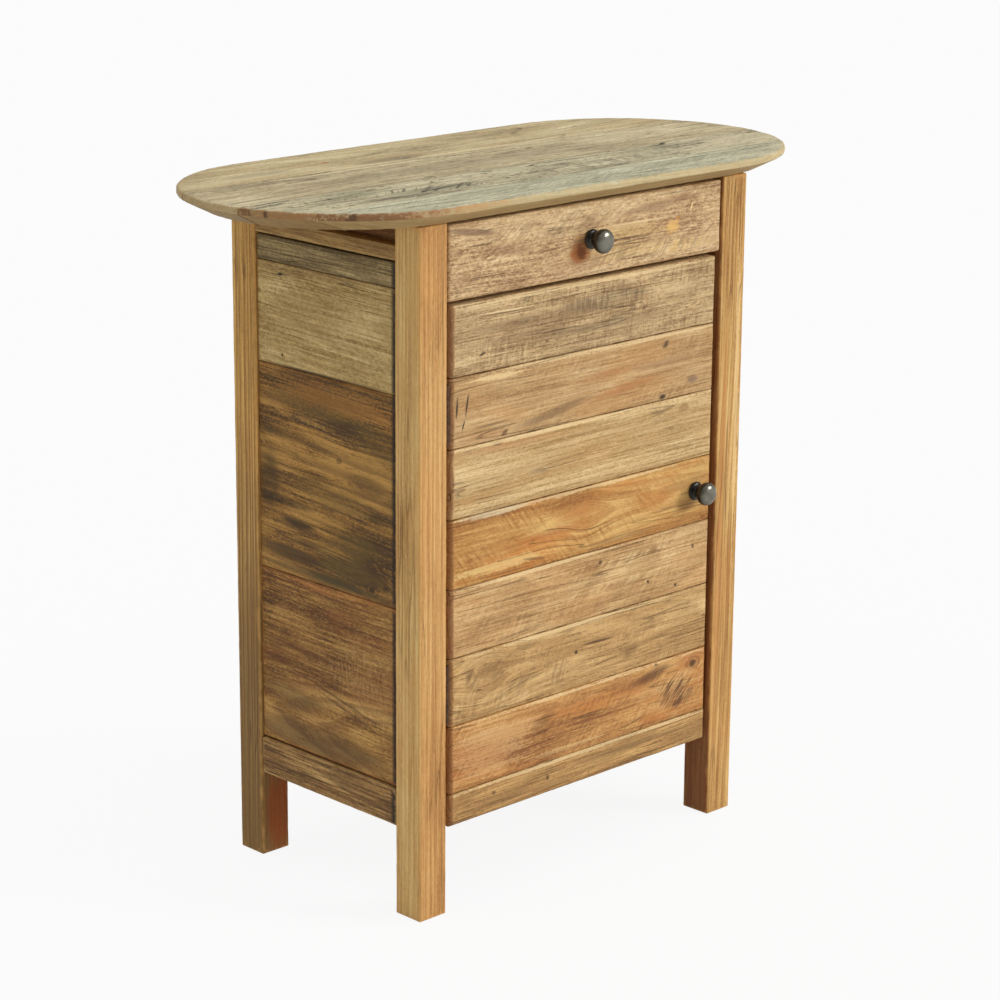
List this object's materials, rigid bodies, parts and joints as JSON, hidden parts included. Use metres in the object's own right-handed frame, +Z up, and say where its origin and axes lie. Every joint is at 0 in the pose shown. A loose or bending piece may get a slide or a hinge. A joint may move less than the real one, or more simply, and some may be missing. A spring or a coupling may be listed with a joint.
{
  "type": "storage side table",
  "caption": "Rustic reclaimed-wood side table with an oval bevelled top on square legs, a drawer below the top and a board door on butt hinges.",
  "frame": {"origin": "centre of the outline on the floor, at the bottom of the legs", "axes": "+X to the right along the top, -Y towards the front with drawer and door, +Z up"},
  "size_m": [0.756, 0.346, 0.751],
  "materials": {
    "top_boards": "worn oiled boards with saw marks",
    "legs": "oiled straight-grained softwood",
    "side_boards": "weathered boards, oiled",
    "rails": "oiled softwood",
    "door_boards": "weathered boards, oiled",
    "drawer_front": "weathered board, oiled",
    "inner_wood": "plain planed softwood",
    "knobs": "dark burnished metal",
    "hinges": "aged brass",
    "fasteners": "zinc plated steel",
    "catch": "brown moulded plastic"
  },
  "bodies": {
    "carcass": {"back_panel": "inner_wood", "back_rail_lower": "inner_wood", "back_rail_upper": "inner_wood", "bottom_panel": "inner_wood", "drawer_runner_left": "inner_wood", "drawer_runner_right": "inner_wood", "front_bottom_rail": "inner_wood", "front_divider_rail": "inner_wood", "hinge_frame_leaves": "hinges", "hinge_frame_screws": "fasteners", "hinge_pins": "hinges", "leg_back_left": "legs", "leg_back_right": "legs", "leg_front_left": "legs", "leg_front_right": "legs", "magnetic_catch": "catch", "shelf": "inner_wood", "shelf_cleat_left": "inner_wood", "shelf_cleat_right": "inner_wood", "side_board_left_1": "side_boards", "side_board_left_2": "side_boards", "side_board_left_3": "side_boards", "side_board_left_4": "side_boards", "side_board_right_1": "side_boards", "side_board_right_2": "side_boards", "side_board_right_3": "side_boards", "side_board_right_4": "side_boards", "side_rail_lower_left": "rails", "side_rail_lower_right": "rails", "side_rail_upper_left": "rails", "side_rail_upper_right": "rails", "top_batten_left": "inner_wood", "top_batten_right": "inner_wood", "top_board_1": "top_boards", "top_board_2": "top_boards", "top_board_3": "top_boards", "top_board_4": "top_boards", "top_screws": "fasteners"},
    "drawer": {"drawer_back": "inner_wood", "drawer_bottom": "inner_wood", "drawer_front": "drawer_front", "drawer_knob": "knobs", "drawer_knob_bolt": "fasteners", "drawer_side_left": "inner_wood", "drawer_side_right": "inner_wood"},
    "door": {"door_batten_left": "inner_wood", "door_batten_right": "inner_wood", "door_board_1": "door_boards", "door_board_2": "door_boards", "door_board_3": "door_boards", "door_board_4": "door_boards", "door_board_5": "door_boards", "door_board_6": "door_boards", "door_board_7": "door_boards", "door_board_8": "door_boards", "door_knob": "knobs", "door_knob_bolt": "fasteners", "hinge_door_leaves": "hinges", "hinge_door_screws": "fasteners", "strike_plate": "fasteners"}
  },
  "joints": [
    {"name": "drawer_slide", "type": "slide", "parent": "carcass", "child": "drawer", "axis": [0, -1, 0], "range_m": [0, 0.18]},
    {"name": "door_hinge", "type": "hinge", "parent": "carcass", "child": "door", "pos_m": [-0.1997, -0.141, 0.369], "axis": [0, 0, -1], "range_deg": [0, 110]}
  ]
}
